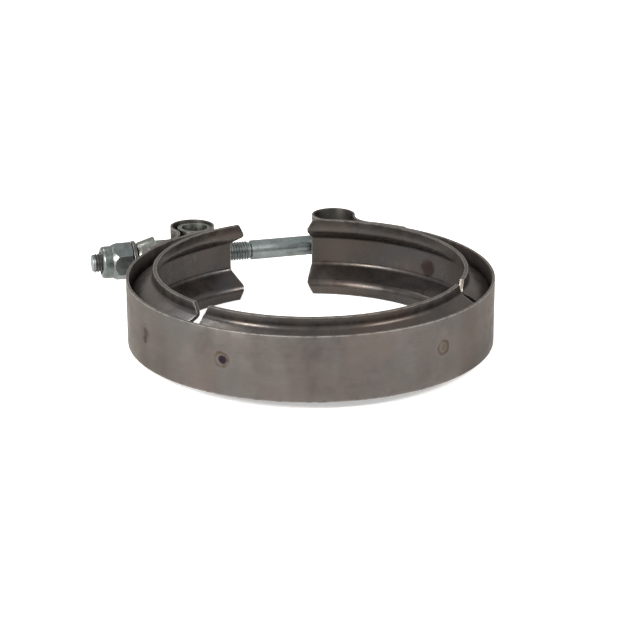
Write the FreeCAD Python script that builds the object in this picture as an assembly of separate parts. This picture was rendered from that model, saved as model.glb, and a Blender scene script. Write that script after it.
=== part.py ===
"""V band clamp: a slotted steel strip, three V retainers, and a T-bolt closed by a lock nut.

The origin is the centre of the ring, half way up the strip. +Z is the ring's axis, and the latch
gap is at +Y. The T-bolt lies along X across the gap, with its nut at the -X end. Millimetres.
"""
import FreeCAD, Part
import math
import os

from FreeCAD import Vector

# Strip
band_radius = 57.15          # outside of the strip round the ring
band_width = 20.4
band_thickness = 0.8
loop_diameter = 14.6         # outside of each end loop
loop_spacing = 48.8          # between the two loop centres, along the bolt
reverse_bend = 8.0           # middle radius where a loop turns back on to the ring
lap_length = 13.0            # lapped and welded end of the strip
lap_gap = 0.08               # between the strip and its lapped end

# V retainers
retainer_sheet = 1.2
retainer_depth = 8.7         # from a retainer's back to the inside of its lips
web_flat = 7.0               # flat back of the V, along the axis
leg_slope = 29.0             # each leg of the V, from the plane of the ring
lip_flat = 2.3               # each lip, along the axis
web_bend = 2.6               # middle radius between web and leg
lip_bend = 2.4               # middle radius between leg and lip
seat_gap = 0.05              # between a retainer's back and the strip
front_span = 111.5           # of the front retainer, between the middles of its two hinge gaps
front_turn = -1.4            # of the front retainer, round from the side opposite the latch
right_hinge_gap = 0.4        # between the front and right retainers, at their lips
left_hinge_gap = 1.75        # between the front and left retainers, at their lips
latch_turn = -1.35           # of the gap between the side retainers' ends, round from +Y
latch_clearance = 0.73       # between the bolt and the back of the nearer of those ends
end_rake = 11.5              # legs and lips run on past the web's end by this angle
lip_chamfer = 2.0            # taken off the lips' corners, along the ring
end_corner = 1.2             # rounding where the chamfer meets the leg's end

# T-bolt
bolt_diameter = 6.35         # over the thread
bolt_tip = 3.0               # past the nut
shank_step = 0.08            # the plain shank's radius over the thread's
plain_shank = 29.4           # from the head loop's centre to the thread's run-out
runout_length = 0.8
runout_depth = 0.4           # below the thread's crests
tip_chamfer = 0.9
tip_diameter = 5.2
head_play = 1.6              # across the head, in its loop
head_recess = 3.7            # below each edge of the strip
head_edge = 1.0
shank_flare = 0.55           # extra radius where the shank leaves the head
flare_length = 3.0
bolt_slot_clearance = 1.1    # round the shank, in the strip and the trunnion's barrel
bolt_slot_swing = 2.2        # extra reach of the slot round the loop

# Trunnion
trunnion_sheet = 1.3
barrel_play = 1.8            # across the barrel, in its loop
barrel_recess = 0.6          # below each edge of the strip
barrel_edge = 0.35
neck_height = 11.0
neck_clearance = 0.42        # inside the neck, to each side of the bolt
neck_corner = 3.2
neck_slot_clearance = 0.6    # between the neck and the strip, above and below
seat_reach = 19.4            # washer face past the trunnion loop's centre
saddle_length = 6.3
saddle_rim_diameter = 14.6
saddle_seat_diameter = 11.8
saddle_edge = 1.6
saddle_hollow = 1.8          # behind the rim, round the neck
trunnion_bore_clearance = 0.3

# Washer and lock nut
washer_diameter = 12.7
washer_thickness = 1.2
washer_clearance = 0.18
washer_edge = 0.2
nut_flats = 11.11
hex_length = 6.9
nut_face_diameter = 10.6     # where the hex corners' chamfers meet the end faces
bearing_chamfer = 25.0       # of the corners at the washer, from the end face
collar_chamfer = 58.0        # of the corners at the collar, from the end face
collar_diameter = 10.7
collar_length = 3.4
collar_edge = 1.1
insert_wall = 1.2
insert_length = 2.3
insert_lip = 0.5             # metal rolled over the insert
insert_lip_clearance = 0.6   # between that metal and the bolt
thread_clearance = 0.05      # round the bolt, in the nut and its insert
bore_chamfer = 0.4
face_gap = 0.04              # between stacked flat faces
head_seat = 0.1              # between the head or barrel and the loop that holds it

# Worked out
strip_radius = band_radius - band_thickness / 2
loop_bend = (loop_diameter - band_thickness) / 2
loop_inside = loop_diameter / 2 - band_thickness
loop_reach = strip_radius + loop_bend
loop_x = loop_spacing / 2
bolt_y = math.sqrt(loop_reach ** 2 - loop_x ** 2)
bolt_radius = bolt_diameter / 2
shank_radius = bolt_radius + shank_step
head_radius = loop_inside - head_play / 2
barrel_radius = loop_inside - barrel_play / 2
back_radius = band_radius - band_thickness - seat_gap
web_radius = back_radius - retainer_sheet / 2
lip_radius = back_radius - retainer_depth
lip_middle = lip_radius + retainer_sheet / 2
leg_turn = 90 - leg_slope
bend_reach = (web_bend + lip_bend) * (1 - math.cos(math.radians(leg_turn)))
bend_rise = (web_bend + lip_bend) * math.sin(math.radians(leg_turn))
leg_length = (web_radius - lip_middle - bend_reach) / math.sin(math.radians(leg_turn))
leg_rise = leg_length * math.cos(math.radians(leg_turn)) + bend_rise
lip_top = web_flat / 2 + leg_rise + lip_flat
bend_top = lip_top - lip_flat - lip_bend * math.tan(math.radians(leg_turn / 2))
clear_angle = math.degrees(math.acos((bolt_y - shank_radius - latch_clearance) / back_radius))
latch_angle = clear_angle + abs(latch_turn)
lip_run_on = (web_radius - lip_radius) * math.tan(math.radians(end_rake))
run_on_angle = math.degrees(math.asin(lip_run_on / lip_radius))
seat_x = -loop_x - seat_reach
nut_x = seat_x - washer_thickness - 2 * face_gap
hex_end = nut_x - hex_length
collar_end = hex_end - collar_length
tip_x = collar_end - bolt_tip

AXIS_X = Vector(1, 0, 0)
AXIS_Z = Vector(0, 0, 1)
ORIGIN = Vector(0, 0, 0)
BOLT_AXIS_POINT = Vector(0, bolt_y, 0)
THROUGH = 40.0               # longer than any cut has to be
MEETS = 1e-6                 # points nearer than this are one


def polar(length, degrees):
    """A flat vector of a length at an angle from +X."""
    angle = math.radians(degrees)
    return Vector(length * math.cos(angle), length * math.sin(angle), 0)


def face_from_edges(edges):
    """A flat face inside a closed chain of edges."""
    return Part.Face(Part.Wire(Part.sortEdges(edges)[0]))


def sheet_section(start, heading, moves, thickness):
    """Face of a bent sheet, drawn flat, from its middle line.

    A move (0, length) runs straight. A move (radius, turn) bends by an angle, positive to the left.
    """
    edges = []
    ends = []
    for offset in (thickness / 2, -thickness / 2):
        point = start
        angle = heading
        side = [point + polar(offset, angle + 90)]
        for radius, amount in moves:
            if radius == 0:
                point = point + polar(amount, angle)
                side.append(point + polar(offset, angle + 90))
                edges.append(Part.makeLine(side[-2], side[-1]))
                continue
            hand = math.copysign(1, amount)
            centre = point + polar(radius, angle + 90 * hand)
            side_radius = radius - offset * hand
            spoke = angle - 90 * hand
            middle = centre + polar(side_radius, spoke + amount / 2)
            side.append(centre + polar(side_radius, spoke + amount))
            edges.append(Part.Arc(side[-2], middle, side[-1]).toShape())
            point = centre + polar(radius, spoke + amount)
            angle = angle + amount
        ends.append((side[0], side[-1]))
    edges.append(Part.makeLine(ends[0][0], ends[1][0]))
    edges.append(Part.makeLine(ends[0][1], ends[1][1]))
    return face_from_edges(edges)


def rounded_polygon(points, radii):
    """Face of a polygon whose corners are rounded by the matching radii, 0 for a sharp one."""
    count = len(points)
    edges = []
    leaves = []
    arrives = []
    for i in range(count):
        corner = points[i]
        before = (points[i - 1] - corner).normalize()
        after = (points[(i + 1) % count] - corner).normalize()
        if radii[i] == 0:
            arrives.append(corner)
            leaves.append(corner)
            continue
        half_angle = before.getAngle(after) / 2
        setback = radii[i] / math.tan(half_angle)
        bisector = (before + after).normalize()
        centre = corner + bisector * (radii[i] / math.sin(half_angle))
        arrives.append(corner + before * setback)
        leaves.append(corner + after * setback)
        middle = centre - bisector * radii[i]
        edges.append(Part.Arc(arrives[i], middle, leaves[i]).toShape())
    for i in range(count):
        next_corner = arrives[(i + 1) % count]
        if not leaves[i].isEqual(next_corner, MEETS):
            edges.append(Part.makeLine(leaves[i], next_corner))
    return face_from_edges(edges)


def on_bolt_axis(shape):
    """Turn a shape drawn round the X axis into place round the bolt."""
    shape.translate(BOLT_AXIS_POINT)
    return shape


def turned(profile):
    """Solid of revolution round the bolt, from (x, radius, corner rounding) points."""
    points = [Vector(x, radius, 0) for x, radius, rounding in profile]
    face = rounded_polygon(points, [rounding for x, radius, rounding in profile])
    return on_bolt_axis(face.revolve(ORIGIN, AXIS_X, 360))


def bar_along_x(depth, height, corner, x_from, x_to):
    """Bar of rounded rectangular section along the bolt, between two places."""
    points = [
        Vector(x_from, -depth / 2, -height / 2),
        Vector(x_from, depth / 2, -height / 2),
        Vector(x_from, depth / 2, height / 2),
        Vector(x_from, -depth / 2, height / 2),
    ]
    face = rounded_polygon(points, [corner] * 4)
    return on_bolt_axis(face.extrude(Vector(x_to - x_from, 0, 0)))


def upright_cylinder(x, radius, height):
    """Cylinder across the strip, centred on the bolt's axis."""
    return Part.makeCylinder(radius, height, Vector(x, bolt_y, -height / 2), AXIS_Z)


# ---------------------------------------------------------------- strip

def half_strip():
    """The strip from opposite the latch round to the +X loop and back over itself."""
    lap_radius = band_radius + lap_gap + band_thickness / 2
    centre_reach = lap_radius + reverse_bend
    centre_apart = loop_bend + reverse_bend
    at_loop = math.degrees(math.acos(
        (loop_reach ** 2 + centre_apart ** 2 - centre_reach ** 2) / (2 * loop_reach * centre_apart)))
    at_reverse = math.degrees(math.acos(
        (centre_reach ** 2 + centre_apart ** 2 - loop_reach ** 2) / (2 * centre_reach * centre_apart)))
    loop_from_latch = math.degrees(math.asin(loop_x / loop_reach))
    moves = [
        (strip_radius, 180 - loop_from_latch),
        (loop_bend, at_loop - 360),
        (reverse_bend, at_reverse),
        (lap_radius, -math.degrees(lap_length / lap_radius)),
    ]
    section = sheet_section(Vector(0, -strip_radius, 0), 0, moves, band_thickness)
    section.translate(Vector(0, 0, -band_width / 2))
    return section.extrude(Vector(0, 0, band_width))


def make_band():
    head_half = half_strip()
    nut_half = head_half.mirror(ORIGIN, AXIS_X)
    strip = head_half.fuse(nut_half).removeSplitter()
    bolt_slot = bolt_diameter + 2 * bolt_slot_clearance
    bolt_slot_depth = bolt_slot + 2 * bolt_slot_swing
    neck_slot = neck_height + 2 * neck_slot_clearance
    neck_slot_depth = 2 * loop_inside
    shank_window = bar_along_x(bolt_slot_depth, bolt_slot, bolt_slot / 2, -loop_x, loop_x)
    neck_window = bar_along_x(neck_slot_depth, neck_slot, neck_corner, -loop_x - loop_diameter, -loop_x)
    return strip.cut(shank_window).cut(neck_window)


# ---------------------------------------------------------------- retainers

def v_section():
    """The V, drawn with radius along +X and height along +Z."""
    moves = [
        (0, lip_flat),
        (lip_bend, -leg_turn),
        (0, leg_length),
        (web_bend, leg_turn),
        (0, web_flat),
        (web_bend, leg_turn),
        (0, leg_length),
        (lip_bend, -leg_turn),
        (0, lip_flat),
    ]
    section = sheet_section(Vector(lip_middle, -lip_top, 0), 90, moves, retainer_sheet)
    section.rotate(ORIGIN, AXIS_X, 90)
    return section


def end_trim(angle, outwards):
    """Solid that trims a retainer's end. Outwards is 1 where the retainer ends anticlockwise."""
    along = polar(outwards, angle + 90)
    inwards = polar(-math.cos(math.radians(end_rake)), angle)
    inwards = inwards + along * math.sin(math.radians(end_rake))
    margin = 2 * retainer_sheet
    top = lip_top + margin
    chamfer_back = lip_chamfer * (top - bend_top) / (lip_top - bend_top)
    outline = [
        (0, -bend_top),
        (0, bend_top),
        (-chamfer_back, top),
        (THROUGH, top),
        (THROUGH, -top),
        (-chamfer_back, -top),
    ]
    start = polar(web_radius, angle) - inwards * margin
    points = [start + along * out + AXIS_Z * up for out, up in outline]
    face = rounded_polygon(points, [end_corner, end_corner, 0, 0, 0, 0])
    return face.extrude(inwards * (web_radius - lip_radius + 2 * margin))


def make_retainer(start, end):
    """V retainer between two angles, anticlockwise from +X, measured at the web's ends."""
    overrun = 2 * run_on_angle
    section = v_section()
    section.rotate(ORIGIN, AXIS_Z, start - overrun)
    body = section.revolve(ORIGIN, AXIS_Z, end - start + 2 * overrun)
    return body.cut([end_trim(start, -1), end_trim(end, 1)])


def make_retainers():
    front = -90 + front_turn
    latch = 90 + latch_turn
    right_hinge = front + front_span / 2
    left_hinge = front - front_span / 2
    right_setback = math.degrees(right_hinge_gap / lip_radius) / 2 + run_on_angle
    left_setback = math.degrees(left_hinge_gap / lip_radius) / 2 + run_on_angle
    return {
        "retainer_front": make_retainer(left_hinge + left_setback, right_hinge - right_setback),
        "retainer_right": make_retainer(right_hinge + right_setback, latch - latch_angle),
        "retainer_left": make_retainer(latch + latch_angle, 360 + left_hinge - left_setback),
    }


# ---------------------------------------------------------------- T-bolt

def make_t_bolt():
    head_x = loop_x - (loop_inside - head_radius - head_seat)
    runout_x = loop_x - plain_shank
    runout_radius = bolt_radius - runout_depth
    head = upright_cylinder(head_x, head_radius, band_width - 2 * head_recess)
    rims = [edge for edge in head.Edges if len(edge.Vertexes) == 1]
    head = head.makeChamfer(head_edge, rims)
    flare_radius = shank_radius + shank_flare
    flare_x = head_x - math.sqrt(head_radius ** 2 - flare_radius ** 2)
    shank = turned([
        (tip_x, 0, 0),
        (tip_x, tip_diameter / 2, 0),
        (tip_x + tip_chamfer, bolt_radius, 0),
        (runout_x - runout_length, bolt_radius, 0),
        (runout_x - runout_length + runout_depth, runout_radius, 0),
        (runout_x, runout_radius, 0),
        (runout_x + shank_radius - runout_radius, shank_radius, 0),
        (flare_x - flare_length, shank_radius, 0),
        (flare_x, flare_radius, 0),
        (head_x, flare_radius, 0),
        (head_x, 0, 0),
    ])
    return head.fuse(shank).removeSplitter()


# ---------------------------------------------------------------- trunnion

def make_trunnion():
    barrel_x = -loop_x + loop_inside - barrel_radius - head_seat
    barrel_height = band_width - 2 * barrel_recess
    barrel = upright_cylinder(barrel_x, barrel_radius, barrel_height)
    rims = [edge for edge in barrel.Edges if len(edge.Vertexes) == 1]
    barrel = barrel.makeChamfer(barrel_edge, rims)
    inside_depth = bolt_diameter + 2 * neck_clearance
    inside_height = neck_height - 2 * trunnion_sheet
    neck_depth = inside_depth + 2 * trunnion_sheet
    neck = bar_along_x(neck_depth, neck_height, neck_corner, seat_x + trunnion_sheet, barrel_x)
    rim_x = seat_x + saddle_length
    bore_radius = bolt_radius + trunnion_bore_clearance
    saddle = turned([
        (seat_x, bore_radius, 0),
        (seat_x, saddle_seat_diameter / 2, saddle_edge),
        (rim_x, saddle_rim_diameter / 2, 0),
        (rim_x, saddle_rim_diameter / 2 - trunnion_sheet, 0),
        (rim_x - saddle_hollow, bore_radius + trunnion_sheet, 0),
        (rim_x - saddle_hollow, bore_radius, 0),
    ])
    inside_barrel = upright_cylinder(barrel_x, barrel_radius - trunnion_sheet, THROUGH)
    inside_neck = bar_along_x(inside_depth, inside_height, neck_corner - trunnion_sheet,
                              seat_x + trunnion_sheet, barrel_x)
    shank_hole_radius = bolt_radius + bolt_slot_clearance
    shank_hole = Part.makeCylinder(shank_hole_radius, loop_x, Vector(barrel_x, bolt_y, 0), AXIS_X)
    body = barrel.fuse([neck, saddle]).cut([inside_barrel, inside_neck, shank_hole])
    return body.removeSplitter()


# ---------------------------------------------------------------- washer and nut

def make_washer():
    face_x = seat_x - face_gap
    hole_radius = bolt_radius + washer_clearance
    rim_radius = washer_diameter / 2
    back_x = face_x - washer_thickness
    return turned([
        (face_x, hole_radius, 0),
        (face_x, rim_radius - washer_edge, 0),
        (face_x - washer_edge, rim_radius, 0),
        (back_x + washer_edge, rim_radius, 0),
        (back_x, rim_radius - washer_edge, 0),
        (back_x, hole_radius, 0),
    ])


def make_lock_nut():
    corner_radius = nut_flats / math.sqrt(3)
    corners = [Vector(nut_x, corner_radius * math.sin(math.radians(60 * i)),
                      corner_radius * math.cos(math.radians(60 * i))) for i in range(6)]
    hexagon = on_bolt_axis(rounded_polygon(corners, [0] * 6).extrude(Vector(-hex_length, 0, 0)))
    drop = corner_radius - nut_face_diameter / 2
    envelope = turned([
        (nut_x, 0, 0),
        (nut_x, nut_face_diameter / 2, 0),
        (nut_x - drop * math.tan(math.radians(bearing_chamfer)), corner_radius, 0),
        (hex_end + drop * math.tan(math.radians(collar_chamfer)), corner_radius, 0),
        (hex_end, nut_face_diameter / 2, 0),
        (hex_end, 0, 0),
    ])
    collar = turned([
        (hex_end + insert_lip, 0, 0),
        (hex_end + insert_lip, collar_diameter / 2, 0),
        (collar_end, collar_diameter / 2, collar_edge),
        (collar_end, 0, 0),
    ])
    bore_radius = bolt_radius + thread_clearance
    pocket_radius = bore_radius + insert_wall
    lip_hole_radius = bolt_radius + insert_lip_clearance
    bore = turned([
        (nut_x, 0, 0),
        (nut_x, bore_radius + bore_chamfer, 0),
        (nut_x - bore_chamfer, bore_radius, 0),
        (collar_end, bore_radius, 0),
        (collar_end, 0, 0),
    ])
    pocket = turned([
        (collar_end + insert_lip + insert_length, 0, 0),
        (collar_end + insert_lip + insert_length, pocket_radius, 0),
        (collar_end + insert_lip, pocket_radius, 0),
        (collar_end + insert_lip, lip_hole_radius, 0),
        (collar_end, lip_hole_radius, 0),
        (collar_end, 0, 0),
    ])
    return hexagon.common(envelope).fuse(collar).cut([bore, pocket]).removeSplitter()


def make_nut_insert():
    near_x = collar_end + insert_lip + insert_length - face_gap
    far_x = collar_end + insert_lip + face_gap
    bore_radius = bolt_radius + thread_clearance
    outer_radius = bore_radius + insert_wall - face_gap
    return turned([
        (near_x, bore_radius, 0),
        (near_x, outer_radius, 0),
        (far_x, outer_radius, 0),
        (far_x, bore_radius, 0),
    ])


def main():
    pieces = {
        "band": make_band(),
        "t_bolt": make_t_bolt(),
        "trunnion": make_trunnion(),
        "washer": make_washer(),
        "lock_nut": make_lock_nut(),
        "nut_insert": make_nut_insert(),
    }
    pieces.update(make_retainers())
    os.makedirs("parts", exist_ok=True)
    for name, shape in pieces.items():
        shape.exportStep("parts/" + name + ".step")


main()
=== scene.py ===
import bmesh
import bpy
import math
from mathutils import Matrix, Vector


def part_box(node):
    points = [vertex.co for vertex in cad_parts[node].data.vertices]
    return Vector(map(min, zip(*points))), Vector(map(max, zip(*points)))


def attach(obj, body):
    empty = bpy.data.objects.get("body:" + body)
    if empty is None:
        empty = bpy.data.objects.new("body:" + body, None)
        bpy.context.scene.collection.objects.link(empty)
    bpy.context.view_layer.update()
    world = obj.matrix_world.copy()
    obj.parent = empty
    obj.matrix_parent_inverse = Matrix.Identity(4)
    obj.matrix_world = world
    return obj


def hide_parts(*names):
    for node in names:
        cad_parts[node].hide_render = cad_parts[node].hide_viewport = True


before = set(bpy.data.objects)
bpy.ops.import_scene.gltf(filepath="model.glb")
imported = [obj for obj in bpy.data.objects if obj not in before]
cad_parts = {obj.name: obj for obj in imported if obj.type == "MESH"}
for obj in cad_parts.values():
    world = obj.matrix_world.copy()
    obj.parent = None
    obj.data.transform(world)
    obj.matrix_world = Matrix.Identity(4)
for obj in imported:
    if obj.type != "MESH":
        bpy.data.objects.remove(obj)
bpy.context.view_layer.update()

# ------------------------------------------------------------------ sizes, in metres

# Strip
BAND_RADIUS = 0.05715            # outside of the strip round the ring
STRIP_SHEET = 0.0008
LOOP_DIAMETER = 0.0146           # outside of each end loop
LOOP_SPACING = 0.0488
REVERSE_BEND = 0.008             # middle radius where a loop turns back on to the ring
LAP_LENGTH = 0.013
LAP_GAP = 0.00008
STRIP_EDGE = 0.00018             # rounding of the rolled edges
BOLT_SLOT = 0.00855
BOLT_SLOT_DEPTH = 0.01295
NECK_SLOT = 0.0122
NECK_CORNER = 0.0032

# V retainers
RETAINER_SHEET = 0.0012
SEAT_GAP = 0.00005               # between a retainer's back and the strip
RETAINER_DEPTH = 0.0087          # from the back of the V to the inside of its lips
WEB_FLAT = 0.007
LEG_SLOPE = 29.0                 # degrees, from the plane of the ring
LIP_FLAT = 0.0023
WEB_BEND = 0.0026                # middle radii
LIP_BEND = 0.0024
FRONT_SPAN = 111.5               # degrees, between the middles of the front retainer's gaps
FRONT_TURN = -1.4
RIGHT_HINGE_GAP = 0.0004
LEFT_HINGE_GAP = 0.00175
LATCH_TURN = -1.35
LATCH_CLEARANCE = 0.00073
END_RAKE = 11.5
LIP_CHAMFER = 0.002
END_CORNER = 0.0012
SHEET_EDGE = 0.00025             # rounding of the stamped edges

# T-bolt
BOLT_DIAMETER = 0.00635          # over the thread
SHANK_DIAMETER = 0.00651
THREAD_PITCH = 0.0254 / 28
THREAD_DEPTH = 0.00045
THREAD_ROOT = 0.6                # root, flank and crest, in quarters of the pitch
THREAD_FLANK = 1.35
THREAD_CREST = 0.7
PLAIN_SHANK = 0.0294             # from the head loop's centre to the thread's run-out
RUNOUT_LENGTH = 0.0008
RUNOUT_DEPTH = 0.0004
OIL_LINE = 0.0002                # how far inside the nut the oiled end of the thread starts
TIP_CHAMFER = 0.0009
TIP_DIAMETER = 0.0052
HEAD_DIAMETER = 0.0114
HEAD_RECESS = 0.0037             # below each edge of the strip
HEAD_EDGE = 0.001
SHANK_FLARE = 0.00055
FLARE_LENGTH = 0.003
FLARE_PLACES = (0.4, 0.7, 1)     # along the flare, which grows by their squares
HEAD_SEAT = 0.0001               # between the head or barrel and the loop that holds it

# Trunnion
TRUNNION_SHEET = 0.0013
BARREL_DIAMETER = 0.0112
BARREL_RECESS = 0.0006
NECK_HEIGHT = 0.011
NECK_INSIDE_DEPTH = 0.00719
SADDLE_LENGTH = 0.0063
SADDLE_RIM_DIAMETER = 0.0146
SADDLE_SEAT_DIAMETER = 0.0118
SADDLE_EDGE = 0.0016
SADDLE_HOLLOW = 0.0018
TRUNNION_BORE = 0.00695
TRUNNION_EDGE = 0.0003

# Washer and lock nut
WASHER_BORE = 0.00671
NUT_FLATS = 0.01111
HEX_LENGTH = 0.0069
NUT_FACE_DIAMETER = 0.0106
BEARING_CHAMFER = 25.0
COLLAR_CHAMFER = 58.0
COLLAR_DIAMETER = 0.0107
COLLAR_EDGE = 0.0011
COLLAR_ROLL = (0, 22, 45, 67, 90)    # degrees round the collar's rolled edge
NUT_BORE = 0.00645
NUT_LIP_BORE = 0.00755
INSERT_WALL = 0.0012
INSERT_LENGTH = 0.0023
INSERT_LIP = 0.0005
NUT_EDGE = 0.00012
RING_EDGE = 0.0002               # rounding of the washer and the insert
BORE_CHAMFER = 0.0004

# Spot welds: degrees round the ring from +X, and height
WELDS = [(-132.5, 0.001), (-62.4, 0.0011), (-165.2, 0.0),
         (158.0, 0.0006), (29.9, -0.0012), (-13.0, 0.0004)]
WELD_RADIUS = 0.00135
WELD_DENT = 0.00012
WELD_SHADOW = 0.0048             # radius of a weld's mark on the inside

# ------------------------------------------------------------------ places, from the frame

band_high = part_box("band")[1]
bolt_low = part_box("t_bolt")[0]
trunnion_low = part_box("trunnion")[0]
washer_low, washer_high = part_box("washer")
nut_low, nut_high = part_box("lock_nut")
insert_low, insert_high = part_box("nut_insert")

HALF_WIDTH = band_high[2]
BOLT_Y = (washer_low[1] + washer_high[1]) / 2
BOLT_CENTRE = Vector((0, BOLT_Y, 0))
STRIP_RADIUS = BAND_RADIUS - STRIP_SHEET / 2
LOOP_BEND = (LOOP_DIAMETER - STRIP_SHEET) / 2
LOOP_INSIDE = LOOP_DIAMETER / 2 - STRIP_SHEET
LOOP_REACH = STRIP_RADIUS + LOOP_BEND
LOOP_X = LOOP_SPACING / 2
BACK_RADIUS = BAND_RADIUS - STRIP_SHEET - SEAT_GAP
WEB_RADIUS = BACK_RADIUS - RETAINER_SHEET / 2
LIP_RADIUS = BACK_RADIUS - RETAINER_DEPTH
LIP_MIDDLE = LIP_RADIUS + RETAINER_SHEET / 2
LEG_TURN = 90 - LEG_SLOPE

ORIGIN = Vector((0, 0, 0))
AXIS_X = Vector((1, 0, 0))
AXIS_Y = Vector((0, 1, 0))
AXIS_Z = Vector((0, 0, 1))
LONG = 0.04                      # longer than any cut has to be
OVERSHOOT = 0.001                # how far a cutter runs past a face
MEETS = 1e-6                     # points closer than this are one point
ANY_SIZE = 0.001                 # of a plane that is merged to a point

# How finely each curve is stepped
TURN_STEPS = 72
CYLINDER_SIDES = 64
BAR_CORNER_STEPS = 10
RING_STEPS = 80                  # half of the ring
LOOP_STEPS = 44
REVERSE_STEPS = 12
LAP_STEPS = 8
BEND_STEPS = 7
RETAINER_STEP = 2.5              # degrees
THREAD_STEPS = 28                # for each turn


def polar(length, degrees, height=0.0):
    """A place at an angle round the ring from +X."""
    angle = math.radians(degrees)
    return Vector((length * math.cos(angle), length * math.sin(angle), height))


# ------------------------------------------------------------------ modelling helpers

def clear_selection():
    bpy.ops.object.select_all(action="DESELECT")


def select_only(piece):
    clear_selection()
    piece.select_set(True)
    bpy.context.view_layer.objects.active = piece


def edit(piece):
    select_only(piece)
    bpy.ops.object.mode_set(mode="EDIT")


def stop_editing():
    bpy.ops.object.mode_set(mode="OBJECT")


def pick(piece, wanted, kind="VERT"):
    """Selects the vertices, edges or faces that a test wants, in edit mode."""
    bpy.ops.mesh.select_mode(type=kind)
    bpy.ops.mesh.select_all(action="DESELECT")
    mesh = bmesh.from_edit_mesh(piece.data)
    items = {"VERT": mesh.verts, "EDGE": mesh.edges, "FACE": mesh.faces}[kind]
    for item in items:
        if wanted(item):
            item.select_set(True)
    mesh.select_flush_mode()
    bmesh.update_edit_mesh(piece.data)


def start_from_a_point(name, place):
    """A plane merged to one vertex, left in edit mode and ready to extrude."""
    clear_selection()
    bpy.ops.mesh.primitive_plane_add(size=ANY_SIZE, location=place)
    piece = bpy.context.object
    piece.name = name
    bpy.ops.object.transform_apply(location=True, rotation=True, scale=True)
    bpy.ops.object.mode_set(mode="EDIT")
    bpy.ops.mesh.select_mode(type="VERT")
    bpy.ops.mesh.select_all(action="SELECT")
    bpy.ops.mesh.merge(type="CENTER")
    return piece


def extrude_by(step):
    bpy.ops.mesh.extrude_region_move(TRANSFORM_OT_translate={"value": tuple(step)})


def spin_by(degrees, centre, axis, steps):
    """Spins what is selected, anticlockwise looking back along the axis.

    The operator's own turns are clockwise.
    """
    bpy.ops.mesh.spin(steps=steps, angle=-math.radians(degrees), center=tuple(centre), axis=tuple(axis))


def merge_and_face_outwards(piece):
    """Merges doubled points and turns every face outwards."""
    bpy.ops.mesh.select_all(action="SELECT")
    bpy.ops.mesh.remove_doubles(threshold=MEETS)
    bpy.ops.mesh.select_all(action="SELECT")
    bpy.ops.mesh.normals_make_consistent(inside=False)


def place_in_mesh(piece):
    select_only(piece)
    bpy.ops.object.transform_apply(location=True, rotation=True, scale=True)


def apply_modifier(piece, kind, **settings):
    select_only(piece)
    made = piece.modifiers.new(kind.lower(), kind)
    for key, value in settings.items():
        setattr(made, key, value)
    bpy.ops.object.modifier_apply(modifier=made.name)


def thicken(piece, sheet):
    apply_modifier(piece, "SOLIDIFY", thickness=sheet, offset=0, use_even_offset=True)


def round_edges(piece, width, segments=2, sharper_than=35):
    apply_modifier(piece, "BEVEL", width=width, segments=segments, limit_method="ANGLE",
                   angle_limit=math.radians(sharper_than), use_clamp_overlap=True, miter_outer="MITER_ARC")


def combine(piece, tool, operation):
    """Joins, cuts or keeps the overlap with a second solid, which is used up."""
    apply_modifier(piece, "BOOLEAN", operation=operation, object=tool, solver="EXACT")
    bpy.data.objects.remove(tool)


def join(pieces):
    clear_selection()
    for piece in pieces:
        piece.select_set(True)
    bpy.context.view_layer.objects.active = pieces[0]
    bpy.ops.object.join()
    return pieces[0]


def smooth(piece, degrees=32):
    select_only(piece)
    bpy.ops.object.shade_smooth_by_angle(angle=math.radians(degrees))


def turned(name, outline, closed=False):
    """A body turned round the bolt, from (place along X, radius) corners."""
    corners = [Vector((x, BOLT_Y, radius)) for x, radius in outline]
    if closed:
        corners.append(corners[0])
    piece = start_from_a_point(name, corners[0])
    for before, after in zip(corners, corners[1:]):
        extrude_by(after - before)
    bpy.ops.mesh.select_all(action="SELECT")
    spin_by(360, BOLT_CENTRE, AXIS_X, TURN_STEPS)
    merge_and_face_outwards(piece)
    stop_editing()
    return piece


def upright_cylinder(name, x, radius, height, edge=0.0):
    """A cylinder across the strip on the bolt's axis, with bevelled rims."""
    clear_selection()
    bpy.ops.mesh.primitive_cylinder_add(vertices=CYLINDER_SIDES, radius=radius, depth=height,
                                        location=(x, BOLT_Y, 0))
    piece = bpy.context.object
    piece.name = name
    place_in_mesh(piece)
    if edge:
        edit(piece)
        pick(piece, lambda item: abs(item.verts[0].co.z - item.verts[1].co.z) < MEETS, "EDGE")
        bpy.ops.mesh.bevel(offset=edge, segments=3, affect="EDGES")
        stop_editing()
    return piece


def bar_along_x(name, depth, height, corner, x_from, x_to):
    """A bar along the bolt whose four long edges are rounded."""
    clear_selection()
    middle = ((x_from + x_to) / 2, BOLT_Y, 0)
    bpy.ops.mesh.primitive_cube_add(size=1, location=middle, scale=(x_to - x_from, depth, height))
    piece = bpy.context.object
    piece.name = name
    place_in_mesh(piece)
    edit(piece)
    pick(piece, lambda item: abs(item.verts[0].co.x - item.verts[1].co.x) > MEETS, "EDGE")
    bpy.ops.mesh.bevel(offset=corner, segments=BAR_CORNER_STEPS, affect="EDGES")
    merge_and_face_outwards(piece)
    stop_editing()
    return piece


# ------------------------------------------------------------------ strip

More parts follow.
